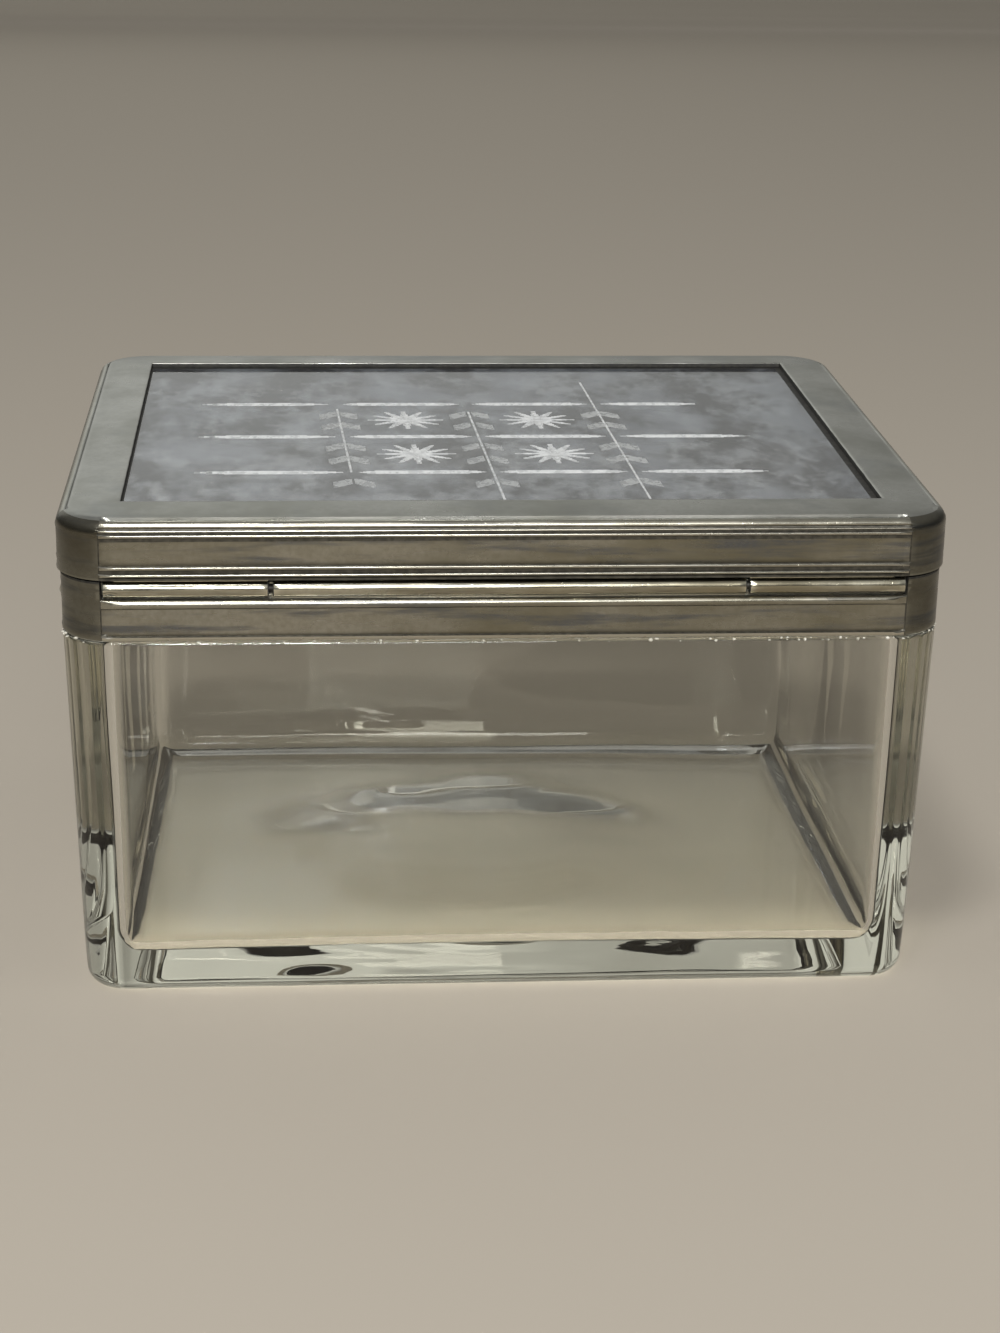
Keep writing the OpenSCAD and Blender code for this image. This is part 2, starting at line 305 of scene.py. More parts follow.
def smokyGlass(name):
    # dark glass with an old film on it: cloudy, and dull or glossy in patches
    f = Finish(name)
    wisps = f.span(f.grain(11 * mm, (1, 1.8, 1), 5, 0.62, seed=1.7), 0.40, 0.62)
    haze = f.span(f.grain(5 * mm, (1, 1.8, 1), 5, 0.6, seed=7.7), 0.46, 0.68, 0, 0.75)
    colour = f.mix(wisps, (0.09, 0.094, 0.108), (0.41, 0.445, 0.505))
    colour = f.mix(haze, colour, (0.66, 0.71, 0.77))
    specks = f.span(f.grain(0.7 * mm, (1, 1, 1), 1, 0.4, seed=3.3), 0.74, 0.78, 0, 0.6)
    f.link(f.mix(specks, colour, (0.75, 0.76, 0.76)), f.shader.inputs["Base Color"])
    f.link(f.span(wisps, 0, 1, 0.03, 0.12), f.shader.inputs["Roughness"])
    f.shader.inputs["IOR"].default_value = 1.52
    f.shader.inputs["Transmission Weight"].default_value = 0.78
    return f.material


def groundGlass(name, low, high, clear):
    # the wheel left these faces pale and satin
    f = Finish(name)
    drag = f.span(f.grain(0.6 * mm, (3, 3, 1), 4, 0.6, seed=2.9), 0.35, 0.7)
    f.link(f.mix(drag, low, high), f.shader.inputs["Base Color"])
    f.link(f.span(drag, 0, 1, 0.24, 0.4), f.shader.inputs["Roughness"])
    f.shader.inputs["IOR"].default_value = 1.52
    f.shader.inputs["Transmission Weight"].default_value = clear
    return f.material


def dullFinish(name, first, second, size, roughness, metallic=0.0):
    f = Finish(name)
    f.link(f.mix(f.span(f.grain(size), 0.35, 0.65), first, second), f.shader.inputs["Base Color"])
    f.shader.inputs["Roughness"].default_value = roughness
    f.shader.inputs["Metallic"].default_value = metallic
    f.bump(f.grain(size / 3, (1, 1, 1), 3, 0.6, seed=6.0), 0.5, 0.05 * mm)
    return f.material


plateLooks = {  # clean, tarnish and stain colours, roughness from and to, wear, size of the patches
    "plated metal": ((0.35, 0.335, 0.285), (0.20, 0.185, 0.135), (0.11, 0.12, 0.14),
                     0.18, 0.33, 0.8, 14 * mm),
    "plated corner": ((0.19, 0.185, 0.155), (0.11, 0.10, 0.075), (0.08, 0.085, 0.09),
                      0.22, 0.36, 0.5, 14 * mm),
    "plated border": ((0.42, 0.42, 0.39), (0.28, 0.28, 0.245), (0.23, 0.24, 0.235),
                      0.26, 0.38, 0.3, 8 * mm),
    "hinge barrel": ((0.52, 0.50, 0.41), (0.30, 0.27, 0.19), (0.18, 0.165, 0.13),
                     0.14, 0.28, 0.6, 14 * mm),
    "inner metal": ((0.40, 0.39, 0.34), (0.25, 0.23, 0.18), (0.17, 0.16, 0.14),
                    0.38, 0.55, 0.2, 14 * mm),
}
plateFinish, cornerFinish, borderFinish, hingeFinish, innerFinish = (
    platedMetal(name, *look) for name, look in plateLooks.items())
pinFinish = dullFinish("pin wire", (0.05, 0.047, 0.04), (0.025, 0.022, 0.02), 1.5 * mm, 0.5, 0.8)
# dark metal: tarnish with painted shade, along rib feet, panel steps and the lid's lip
hollowTarnishShadeFinish = dullFinish("tarnish and painted shade in hollows", (0.05, 0.046, 0.036), (0.09, 0.083, 0.065), 0.9 * mm, 0.45, 0.6)
# near-black painted shade for gaps and joints: the window's cut edge, the lid's lip, the collar's top, the
# hinge's ends and bore, and the pane's seam
seamShadeFinish = dullFinish("painted seam shade", (0.012, 0.011, 0.009), (0.03, 0.028, 0.022), 0.8 * mm, 0.7)
cementFinish = dullFinish("bedding", (0.80, 0.78, 0.70), (0.50, 0.48, 0.40), 0.6 * mm, 0.15)
glassFinish = clearGlass("clear glass", (0.86, 0.855, 0.82), 9.0, (0.79, 0.775, 0.65), (0.88, 0.885, 0.86))
paneFinish = smokyGlass("pane glass")
cutFinish = groundGlass("cut glass", (0.56, 0.57, 0.57), (0.78, 0.79, 0.78), 0.1)
leafFinish = groundGlass("cut leaf glass", (0.36, 0.37, 0.37), (0.60, 0.61, 0.60), 0.3)
pressedFinishes = [plateFinish, borderFinish, innerFinish, seamShadeFinish, hollowTarnishShadeFinish, cornerFinish]
print("finishes made")


glassSizes = {
    "shoulderZ": 58.7 * mm,
    "shoulderRound": 0.5 * mm,
    "taper": 1.7 * mm,  # each side, shoulder to foot
    "cornerRadius": 8.0 * mm,
    "footRound": 3.0 * mm,
    "wall": 7.2 * mm,
    "cavityTaper": 1.0 * mm,
    "cavityRadius": 3.2 * mm,
    "cavityShift": 0.6 * mm,  # the cavity was pressed a little to the right
    "floorZ": 5.0 * mm,
    "floorRound": 4.0 * mm,
    "floorDome": 0.7 * mm,  # the floor swells towards its middle
    "backSwell": 4.0 * mm,  # the back wall is thicker near the floor
    "frontLeft": 1.5 * mm,  # the side walls are thinner towards the front
    "frontRight": 0.9 * mm,
    "dishDepth": 1.5 * mm,  # hollow under the foot
    "dishX": 45 * mm,
    "dishY": 34 * mm,
    "dishPlaceX": -3 * mm,
    "dishPlaceY": 1 * mm,
    "footWave": 0.22 * mm,
    "floorRipple": 0.05 * mm,  # long ripples across the floor
    "filletRipple": 0.16 * mm,
    "neckInset": 2.4 * mm,
    "unevenness": 0.12 * mm,
    "rimRound": 0.3 * mm,
    "leastRadius": 0.8 * mm,
    "spacing": 3 * mm,  # between the points along the sides
    "cornerSteps": 14,
    "flatRings": 26,  # rings of points on the foot, and as many on the floor
    "wallRings": 14,
    "footSteps": 8,  # points round each rounding of the section
    "shoulderSteps": 4,
    "filletSteps": 7,
}


def quarterTurn(steps, first=0):
    return [math.radians(90 * i / steps) for i in range(first, steps + 1)]


def outerRings(s, rimZ):
    # (inset, share of the size there, height) from the middle of the foot up to the rim
    footRound, shoulderZ, shoulderRound = s["footRound"], s["shoulderZ"], s["shoulderRound"]
    footFlat = s["taper"] + footRound
    rings = [(footFlat, (i + 0.35) / s["flatRings"], 0.0) for i in range(s["flatRings"])]
    for turn in quarterTurn(s["footSteps"]):
        rings.append((footFlat - footRound * math.sin(turn), 1, footRound * (1 - math.cos(turn))))
    for i in range(1, s["wallRings"] + 1):
        z = footRound + (shoulderZ - shoulderRound - footRound) * i / s["wallRings"]
        rings.append((s["taper"] * (1 - z / shoulderZ), 1, z))
    for turn in quarterTurn(s["shoulderSteps"], 1):
        drop = shoulderRound * (1 - math.sin(turn))
        rings.append((shoulderRound * (1 - math.cos(turn)), 1, shoulderZ - drop))
    neck, rimRound = s["neckInset"], s["rimRound"]
    return rings + [(neck, 1, shoulderZ), (neck, 1, rimZ - rimRound), (neck + rimRound, 1, rimZ)]


def innerRings(s, rimZ):
    # the same from the rim down to the middle of the floor, and how far in the floor is flat
    wall, rimRound, floorRound = s["wall"], s["rimRound"], s["floorRound"]
    floorEdge = s["floorZ"] + floorRound
    rings = [(wall - rimRound, 1, rimZ), (wall, 1, rimZ - rimRound)]
    for i in range(1, s["wallRings"] + 1):
        z = rimZ - rimRound - (rimZ - floorEdge - rimRound) * i / s["wallRings"]
        rings.append((wall + s["cavityTaper"] * (rimZ - z) / rimZ, 1, z))
    foot = rings[-1][0]
    for turn in quarterTurn(s["filletSteps"], 1):
        rings.append((foot + floorRound * (1 - math.cos(turn)), 1, floorEdge - floorRound * math.sin(turn)))
    floorFlat = foot + floorRound
    for i in reversed(range(s["flatRings"])):
        rings.append((floorFlat, (i + 0.35) / s["flatRings"], s["floorZ"]))
    return rings, floorFlat


def hollowFoot(x, y, s):
    # the pressed hollow under the foot, with soft waves that stop short of the edge
    reach = math.hypot((x - s["dishPlaceX"]) / s["dishX"], (y - s["dishPlaceY"]) / s["dishY"])
    reach += 0.10 * wobble(x, y, 0, 14 * mm, 3.0)
    waves = s["footWave"] * (0.5 + 0.5 * wobble(x, 0.8 * y, 0, 25 * mm, 9.0))
    return s["dishDepth"] * (1 - ease(reach, 0.25, 1.0)) + waves * ease(glassHigh.y - abs(y), 5 * mm, 9 * mm)


def pressInside(v, s, floorFlat):
    # the plunger left uneven walls, which run true again under the collar
    x, y, z = v
    halfX, halfY, rimZ = glassHigh
    floorZ, floorEdge = s["floorZ"], s["floorZ"] + s["floorRound"]
    low = 1 - ease(z, floorZ, floorZ + 30 * mm)
    sink = 1 - ease(z, floorZ, floorZ + 12 * mm)
    below = 1 - ease(z, rimZ - 9 * mm, rimZ - 4 * mm)
    thinner = ease(-y, -30 * mm, 45 * mm) * below
    v[0] += s["cavityShift"] * below
    v[0] += (s["frontRight"] if x > 0 else -s["frontLeft"]) * thinner * ease(abs(x), 20 * mm, 55 * mm)
    v[1] -= s["backSwell"] * low * ease(y, 10 * mm, 45 * mm) * (0.5 + 0.5 * ease(x, -40 * mm, 50 * mm))
    across = max(0.0, 1 - (x / (halfX - floorFlat)) ** 2)
    along = max(0.0, 1 - (y / (halfY - floorFlat)) ** 4)
    v[2] += s["floorDome"] * across * (0.55 + 0.45 * along) * sink
    v[2] += s["floorRipple"] * wobble(0.3 * x, y, 0, 7 * mm, 13.0) * sink
    bend = ease(z, floorZ, floorZ + 1 * mm) * (1 - ease(z, floorEdge - 1 * mm, floorEdge + 2 * mm))
    ripple = s["filletRipple"] * bend * wobble(x, y, z, 7 * mm, 19.0)
    swell = s["unevenness"] * wobble(x, y, z, 26 * mm, 2.0) * below
    v[1] += ripple if abs(y) > 40 * mm else 0
    v[2] += ripple
    v[0] += swell if abs(x) > 50 * mm else 0
    v[1] += swell if abs(y) > 40 * mm else 0
    v[2] += 0.6 * swell * sink


def buildGlass(s):
    halfX, halfY, rimZ = glassHigh
    stops = ringStations(halfX, halfY, s["cornerRadius"], s["spacing"], s["cornerSteps"])
    outside = outerRings(s, rimZ)
    inside, floorFlat = innerRings(s, rimZ)
    verts = []
    for rings, radius in ((outside, s["cornerRadius"]), (inside, s["wall"] + s["cavityRadius"])):
        for inset, share, z in rings:
            for stop in stops:
                x, y = ringSpot(stop, halfX, halfY, radius, inset, s["leastRadius"])
                verts.append([x * share, y * share, z])
    count = len(stops)
    insideStart = len(outside) * count
    for v in verts[:(s["flatRings"] + 1) * count]:
        v[2] = hollowFoot(v[0], v[1], s)
    for v in verts[insideStart:]:
        pressInside(v, s, floorFlat)
    faces = ringFaces(len(outside) + len(inside), count, loop=False)
    faces.append(tuple(reversed(range(count))))
    faces.append(tuple(range(len(verts) - count, len(verts))))
    newPiece("glass_tray", verts, faces, "tray", ["glass_body"], [glassFinish], sharp=50)
    print("glass tray:", len(verts), "points")


buildGlass(glassSizes)


lidSizes = {  # one pressing with ribbed sides and plain corners
    "cornerRadius": 9.0 * mm,
    "plainEnd": 7.0 * mm,
    "border": 9.7 * mm,
    "sheet": 0.9 * mm,
    "edgeRadius": 2.6 * mm,
    "camber": 0.3 * mm,
    "fieldDepth": 0.45 * mm,
    "dents": 0.05 * mm,
    "hollow": 0.13 * mm,  # tarnish and painted shade lie this far out from the foot of each rib
    "spacing": 1.2 * mm,  # between the points along the sides
    "cornerSteps": 14,
    "sectionStep": 0.45 * mm,
    "windowRound": 0.12 * mm,
    "windowRough": 0.1 * mm,  # the window was cut by hand
    "innerRound": 1.7 * mm,
    "lip": 0.28 * mm,
    "grooveRise": 0.25 * mm,
    "grooveStart": 7.7 * mm,  # all of these run from the window's edge over the border and down the side
    "ribs": [  # (place, half width, how far the crest stays back)
        (9.1 * mm, 0.85 * mm, 0.02 * mm),
        (10.48 * mm, 0.27 * mm, 0.14 * mm),
        (11.38 * mm, 0.36 * mm, 0.04 * mm),
        (16.28 * mm, 0.38 * mm, 0.04 * mm),
        (17.42 * mm, 0.33 * mm, 0.08 * mm),
    ],
}


def ribRelief(run, s, panelEnd):
    # how deep the pressed panel lies at a place along the section
    start = s["grooveStart"]
    if run <= start or run >= panelEnd:
        return 0.0
    depth = s["fieldDepth"] * ease(run, start, start + s["grooveRise"])
    for place, half, back in s["ribs"]:
        if abs(run - place) < half:
            rise = math.sqrt(1 - ((run - place) / half) ** 2)
            depth = min(depth, depth + (back - depth) * rise)
    return depth


def sectionRuns(s, start, end, breaks):
    # places to sample: close together over each rib, wide apart on the flats
    coarse = s["sectionStep"]
    runs = set(breaks)
    for place, half, _ in s["ribs"]:
        for i in range(-4, 5):
            runs.add(place + half * math.sin(math.radians(22.5 * i)))
    count = round((end - start) / coarse)
    for i in range(count + 1):
        run = start + (end - start) * i / count
        if all(abs(run - other) > 0.3 * coarse for other in runs):
            runs.add(run)
    return sorted(r for r in runs if start <= r <= end)


def buildLidFrame(s):
    halfX, halfY, top = lidHigh
    bottom = lidLow.z
    radius, edge, border, sheet = s["cornerRadius"], s["edgeRadius"], s["border"], s["sheet"]
    flat, arc = border - edge, edge * math.pi / 2
    endRun = flat + arc + (top - bottom - edge)
    panelEnd = endRun - s["lip"]

    def envelope(run):
        # (inset, height, inward share, downward share) on the plain outer surface
        if run < flat:
            return border - run, top - s["camber"] * (run / flat) ** 2, 0, 1
        if run < flat + arc:
            turn = (run - flat) / edge
            drop = s["camber"] + (edge - s["camber"]) * (1 - math.cos(turn))
            return edge * (1 - math.sin(turn)), top - drop, math.sin(turn), math.cos(turn)
        return 0, top - edge - (run - flat - arc), 1, 0

    runs = sectionRuns(s, s["windowRound"], endRun,
                       (s["grooveStart"], s["grooveStart"] + s["grooveRise"], panelEnd))
    stops = ringStations(halfX, halfY, radius, s["spacing"], s["cornerSteps"], s["plainEnd"])
    feet = [place + sign * half for place, half, _ in s["ribs"] for sign in (-1, 1)]
    verts, tags = [], []
    for run in runs:
        inset, z, inward, downward = envelope(run)
        for stop in stops:
            depth = pressedDepth(stop, ribRelief(run, s, panelEnd), radius - inset)
            x, y = ringSpot(stop, halfX, halfY, radius, inset)
            dent = s["dents"] * (0.5 + 0.5 * wobble(x, y, z, 9 * mm, 5.0))
            nick = 0.5 * s["dents"] * max(0.0, wobble(x, y, z, 1.1 * mm, 7.0))
            back = depth + dent + nick
            x, y = ringSpot(stop, halfX, halfY, radius, inset + back * inward)
            verts.append((x, y, z - back * downward))
        # the feet of the ribs and the lip's lowest band get tarnish with painted shade
        hollow = any(abs(run - foot) < s["hollow"] for foot in feet) and run > flat + 0.6 * arc
        hollow = hollow or run > panelEnd - 0.05 * mm
        tags.append(hollowTarnishShadeTag if hollow else panelTag if run > flat + 0.3 * arc else borderTag)
    inner = [  # (inset, height) from the lip round the inside and back to the window
        (0.5 * sheet, bottom), (sheet, bottom + 0.15 * mm), (sheet, bottom + 3 * mm),
        (sheet, top - sheet - s["innerRound"]), (sheet + 0.5 * mm, top - sheet - 0.5 * mm),
        (sheet + s["innerRound"], top - sheet), (border - 0.2 * mm, top - sheet),
        (border, top - sheet + 0.05 * mm),
        (border, top - s["windowRound"]),
    ]
    for i, (inset, z) in enumerate(inner):
        cutEdge = i >= len(inner) - 2
        for stop in stops:
            x, y = ringSpot(stop, halfX, halfY, radius, inset)
            rough = s["windowRough"] * wobble(x, y, z, 1.3 * mm, 11.0) if cutEdge else 0
            x, y = ringSpot(stop, halfX, halfY, radius, inset - abs(rough))
            verts.append((x, y, z))
        # the window's cut edge is painted near-black as shade of the gap under the border
        tags.append(seamShadeTag if cutEdge else innerTag)
    tags[-1] = borderTag
    # painted seam shade under the lip, all the way round
    tags[len(runs) - 1] = tags[len(runs)] = seamShadeTag
    newPiece("lid_pressing", verts, ringFaces(len(tags), len(stops)), "lid", ["lid_frame"],
             pressedFinishes, sharp=55, faceMaterials=sideSlots(tags, stops))
    print("lid pressing:", len(verts), "points")


buildLidFrame(lidSizes)


collarSizes = {
    "cornerRadius": 8.55 * mm,
    "plainEnd": 6.55 * mm,
    "wall": 0.9 * mm,
    "fieldDepth": 0.45 * mm,
    "dents": 0.04 * mm,
    "beadOut": 0.2 * mm,
    "beadReach": 0.25 * mm,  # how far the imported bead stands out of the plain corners
    "beadHalf": 0.72 * mm,
    "beadDrop": 0.75 * mm,
    "ribHalf": 0.3 * mm,
    "ribBack": 0.05 * mm,
    "ribDrops": (0.3 * mm, 1.3 * mm),  # from the top, where there is no barrel
    "ribsLow": 1.62 * mm,  # the plain wall under them ends here
    "hollow": 0.13 * mm,
    "darkTop": 0.35 * mm,  # painted shade in the joint with the lid, on the plain corners
    "footRound": 0.12 * mm,
    "footLip": 0.55 * mm,
    "lipRise": 0.15 * mm,
    "fieldRows": 10,
    "cutBack": 0.3 * mm,  # how far back the cut-down wall lies along the hinge
    "spacing": 1.2 * mm,
    "cornerSteps": 14,
    "hingeTop": 65.3 * mm,  # the wall is cut down to here along the hinge
}


def buildCollar(s):
    bottom, top = collarLow.z, collarHigh.z
    halfX, halfY = collarHigh.x - s["beadReach"], collarHigh.y - s["beadReach"]
    radius, wall = s["cornerRadius"], s["wall"]
    bead, beadHalf = s["hingeTop"] - s["beadDrop"], s["beadHalf"]
    lipZ = bottom + s["footLip"]

    def relief(z, hinged):
        if z < lipZ:
            return 0.0
        depth = s["fieldDepth"] * ease(z, lipZ, lipZ + s["lipRise"])
        rises = [(bead, beadHalf, -s["beadOut"])]
        if not hinged:
            rises += [(top - drop, s["ribHalf"], s["ribBack"]) for drop in s["ribDrops"]]
        for place, half, back in rises:
            if abs(z - place) < half:
                depth += (back - depth) * math.sqrt(1 - ((z - place) / half) ** 2)
        return depth

    fieldLow = lipZ + s["lipRise"]
    heights = [bottom + s["footRound"], lipZ - 0.02 * mm, lipZ + 0.08 * mm, fieldLow]
    rows = s["fieldRows"]
    fieldHeight = bead - beadHalf - 0.02 * mm - lipZ - s["lipRise"]
    heights += [fieldLow + fieldHeight * i / rows for i in range(1, rows + 1)]
    heights += [bead + beadHalf * math.sin(math.radians(15 * i)) for i in range(-6, 7)]
    beadTop = heights[-1]
    heights.append(top - s["ribsLow"])
    for drop, half in ((1.3 * mm, 0.3 * mm), (0.3 * mm, 0.29 * mm)):
        heights += [top - drop + half * math.sin(math.radians(22.5 * i)) for i in range(-4, 5)]
    stops = ringStations(halfX, halfY, radius, s["spacing"], s["cornerSteps"], s["plainEnd"])

    def hingeSide(stop):
        # the panel of the hinge side, with its ends on the round corners
        if stop[2] is None or stop[2] < 45:
            return stop[3] and stop[0] == 3
        return stop[3] and stop[0] == 2

    def lowered(z, stop):
        # along the hinge the wall ends just above the bead
        if hingeSide(stop) and z > beadTop:
            return beadTop + (z - beadTop) * 0.01
        return z

    verts = []
    for z in heights:
        for stop in stops:
            h = lowered(z, stop)
            x, y = ringSpot(stop, halfX, halfY, radius, 0)
            dent = s["dents"] * (0.5 + 0.5 * wobble(x, y, h, 9 * mm, 15.0))
            nick = 0.4 * s["dents"] * max(0.0, wobble(x, y, h, 1.2 * mm, 17.0))
            depth = pressedDepth(stop, relief(z, hingeSide(stop)), radius) if h == z else s["cutBack"]
            x, y = ringSpot(stop, halfX, halfY, radius, depth + dent + nick)
            verts.append((x, y, h))
    inner = [  # (inset, height) from the top down the inside and round the foot
        (wall * 0.9, top), (wall, top - 0.05 * mm), (wall, top - 1.2 * mm), (wall, bead),
        (wall, bottom + 0.1 * mm), (0.5 * wall, bottom), (0.1 * mm, bottom),
    ]
    for inset, z in inner:
        for stop in stops:
            x, y = ringSpot(stop, halfX, halfY, radius, inset)
            verts.append((x, y, lowered(z, stop)))
    count = len(stops)
    tags = []
    for z in heights[:-1]:
        # tarnish with painted shade along the feet of the bead and the foot lip
        foot = min(abs(z - (bead - beadHalf)), abs(z - lipZ)) < s["hollow"]
        tags.append(hollowTarnishShadeTag if foot else panelTag)
    # painted seam shade on the top edge, under the lid
    tags += [seamShadeTag] + [innerTag] * (len(inner) - 1) + [panelTag]
    slots = sideSlots(tags, stops)
    # painted shade in the joint with the lid: the top rows of the plain corners
    for i, z in enumerate(heights):
        if z > top - s["darkTop"]:
            row = slice(i * count, (i + 1) * count)
            slots[row] = [seamShadeTag if slot == cornerTag else slot for slot in slots[row]]
    newPiece("collar_pressing", verts, ringFaces(len(tags), count), "tray", ["collar_band"],
             pressedFinishes, sharp=55, faceMaterials=slots)
    print("collar:", len(verts), "points")


buildCollar(collarSizes)


hingeSizes = {
    "radius": 1.3 * mm,
    "bore": 0.74 * mm,
    "axisY": -54.2 * mm,
    "axisZ": 66.9 * mm,
    "seamTurn": 250,  # degrees, where the rolled edge closes, seen from the right
    "seamDepth": 0.12 * mm,
    "endRound": 0.14 * mm,
    "leaf": 0.5 * mm,
    "leafRound": 0.08 * mm,
    "leafPlay": 0.05 * mm,
    "tuck": 0.15 * mm,  # the leaf starts a little inside the tube's wall
    "leftGap": 0.25 * mm,  # the tube's ends are worn back this much
    "rightGap": 0.05 * mm,
    "dents": 0.035 * mm,
    "nickDepth": 0.5 * mm,
    "nickStart": 0.5 * mm,  # from the tube's end
    "nickEnd": 1.6 * mm,
    "nickTurn": 200,
    "pointsRound": 48,
    "spacing": 1.0 * mm,  # between the rings along a tube
    "leastRings": 24,
}


def buildKnuckle(name, node, body, low, high, leafLow, leafHigh, nick=False):
    s = hingeSizes
    length, endRound = high.x - low.x, s["endRound"]
    steps = max(s["leastRings"], round(length / s["spacing"]))
    outer = [(0.0, endRound), (0.25 * endRound, 0.3 * endRound), (endRound, 0.0)]  # (along, inset)
    outer += [(endRound + (length - 2 * endRound) * i / steps, 0.0) for i in range(1, steps)]
    outer += [(length - back, inset) for back, inset in reversed(outer[:3])]
    turns = [math.radians(360 * i / s["pointsRound"]) for i in range(s["pointsRound"])]
    verts = []
    for along, inset in outer:
        x = low.x + along
        for turn in turns:
            away = abs((math.degrees(turn) - s["seamTurn"] + 180) % 360 - 180)
            groove = s["seamDepth"] * (1 - ease(away, 3, 12))
            if nick and s["nickStart"] < x - low.x < s["nickEnd"]:
                groove += s["nickDepth"] * (1 - ease(abs(math.degrees(turn) - s["nickTurn"]), 6, 16))
            dent = s["dents"] * (0.5 + 0.5 * wobble(x, math.cos(turn), math.sin(turn), 6 * mm, 21.0))
            r = s["radius"] - inset - groove - dent
            verts.append((x, s["axisY"] + r * math.cos(turn), s["axisZ"] + r * math.sin(turn)))
    for x in (high.x, low.x):
        verts += [(x, s["axisY"] + s["bore"] * math.cos(turn), s["axisZ"] + s["bore"] * math.sin(turn))
                  for turn in turns]
    faces = ringFaces(len(outer) + 2, len(turns))
    # painted shade on the ends and in the bore
    slots = [0 if 1 < i // len(turns) < len(outer) - 3 else 1 for i in range(len(faces))]
    addBlock(verts, faces, leafLow, leafHigh, s["leafRound"])
    slots += [0] * (len(faces) - len(slots))
    newPiece(name, verts, faces, body, [node], [hingeFinish, seamShadeFinish],
             sharp=40, faceMaterials=slots)


def buildHinge(s):
    play, tuck = s["leafPlay"], s["tuck"]
    wallY = lidLow.y + lidSizes["sheet"]
    leafEnd = lidHigh.x - lidSizes["cornerRadius"]
    for node, low, high, nick in (("lid_knuckle_left", leftLow, leftHigh, True),
                                  ("lid_knuckle_right", rightLow, rightHigh, False)):
        leafLow = (max(low.x + play, -leafEnd), wallY, s["axisZ"] + s["bore"] + tuck)
        leafHigh = (min(high.x - play, leafEnd), wallY + s["leaf"], leftHigh.z)
        buildKnuckle(node + "_tube", node, "lid", low, high, leafLow, leafHigh, nick)
    wallY = collarLow.y + collarSizes["beadReach"] + collarSizes["wall"]
    leafLow = (barrelLow.x + play, wallY, barrelLow.z)
    leafHigh = (barrelHigh.x - play, wallY + s["leaf"], s["axisZ"] - s["bore"] - tuck)
    start, end = barrelLow + Vector((s["leftGap"], 0, 0)), barrelHigh - Vector((s["rightGap"], 0, 0))
    buildKnuckle("collar_knuckle_tube", "collar_knuckle", "tray", start, end, leafLow, leafHigh)
    print("hinge made")


buildHinge(hingeSizes)


paneSizes = {
    "cutPitch": 22.3 * mm,
    "latticeX": -1.4 * mm,
    "latticeY": -4.4 * mm,
    "lean": 0.042,  # the stems run this much to the right towards the hinge side
    "acrossStart": 23.6 * mm,  # where the outer cuts start, to the left and right of the middle
    "acrossLeft": 46 * mm,
    "acrossRight": [44 * mm, 45 * mm, 40 * mm],  # hinge side, middle, far side
    "acrossWidth": 2.1 * mm,
    "acrossDepth": 0.26 * mm,
    "stemEnds": [(-22.3 * mm, 19 * mm), (-40 * mm, 17 * mm), (-38.5 * mm, 38 * mm)],
    "stemWidth": 0.36 * mm,
    "stemDepth": 0.2 * mm,
    "stemGap": 1.2 * mm,  # from a stem to the tip of the cut beside it
    "leafRows": [-28.8 * mm, -15 * mm, -6.9 * mm, 6.9 * mm, 14.4 * mm],
    "leafOut": 1.85 * mm,  # middle of a leaf, beside its stem
    "leafHalf": 1.35 * mm,
    "leafThick": 1.5 * mm,  # half of it
    "leafSlant": 0.8,  # how much the outer end lies nearer the hinge side
    "leafDepth": 0.24 * mm,
    "starRays": 12,
    "starReach": 6.3 * mm,
    "rayWidth": 0.95 * mm,
    "rayDepth": 0.22 * mm,
    "seamLeft": 0.3 * mm,  # painted shade in the corner between pane and border
    "seamRight": 1.0 * mm,
    "seamFar": 0.8 * mm,
    "fineStep": 0.26 * mm,
    "coarseStep": 0.9 * mm,
    "fineSide": 5 * mm,  # fine steps run this far past the outer stems
    "cutEdge": 0.012 * mm,  # shallower than this counts as the plain face
}


def spindle(along, across, length, width, depth, pointed=2.0):
    # depth of a cut that is widest at its middle and runs out at both ends
    if abs(along) >= length / 2:
        return 0.0
    share = 1 - abs(2 * along / length) ** pointed
    half = width / 2 * share
    if abs(across) >= half:
        return 0.0
    return depth * share * (1 - abs(across) / half)


def acrossDepth(x, off, right):
    # one cut of the lattice along X: a long spindle in each bay between the stems
    s = paneSizes
    pitch, gap, start = s["cutPitch"], s["stemGap"], s["acrossStart"]
    for low, high in ((-s["acrossLeft"], -start), (-pitch + gap, -gap), (gap, pitch - gap), (start, right)):
        if low < x < high:
            pointed = 3.0 if abs(low + high) > 2 * pitch else 5.0
            return spindle(x - (low + high) / 2, off, high - low, s["acrossWidth"], s["acrossDepth"], pointed)
    return 0.0


def leafDepth(side, y):
    # pairs of leaves along a stem; side is the distance from the stem
    s = paneSizes
    dx = abs(side) - s["leafOut"]
    if abs(dx) >= s["leafHalf"]:
        return 0.0
    deepest = 0.0
    for row in s["leafRows"]:
        slope = 0.5 - (y - row + s["leafSlant"] * dx) / (2 * s["leafThick"])
        if 0 < slope < 1:  # one slanting face, deepest along the edge towards the hinge side
            deepest = max(deepest, s["leafDepth"] * (0.15 + 0.85 * slope))
    return deepest


def starDepth(dx, dy):
    s = paneSizes
    reach = math.hypot(dx, dy)
    if reach > s["starReach"]:
        return 0.0
    slot = math.pi * 2 / s["starRays"]
    off = (math.atan2(dy, dx) + slot / 2) % slot - slot / 2
    along, across = reach * math.cos(off), reach * math.sin(off)
    share = max(0.0, 1 - along / s["starReach"])
    half = s["rayWidth"] / 2 * min(1.0, 0.25 + 1.5 * share)
    ray = s["rayDepth"] * min(1.0, share * 2.5) * (1 - abs(across) / half) if abs(across) < half else 0.0
    return max(ray, s["rayDepth"] * 0.7 * (1 - ease(reach, 0.7 * mm, 1.7 * mm)))


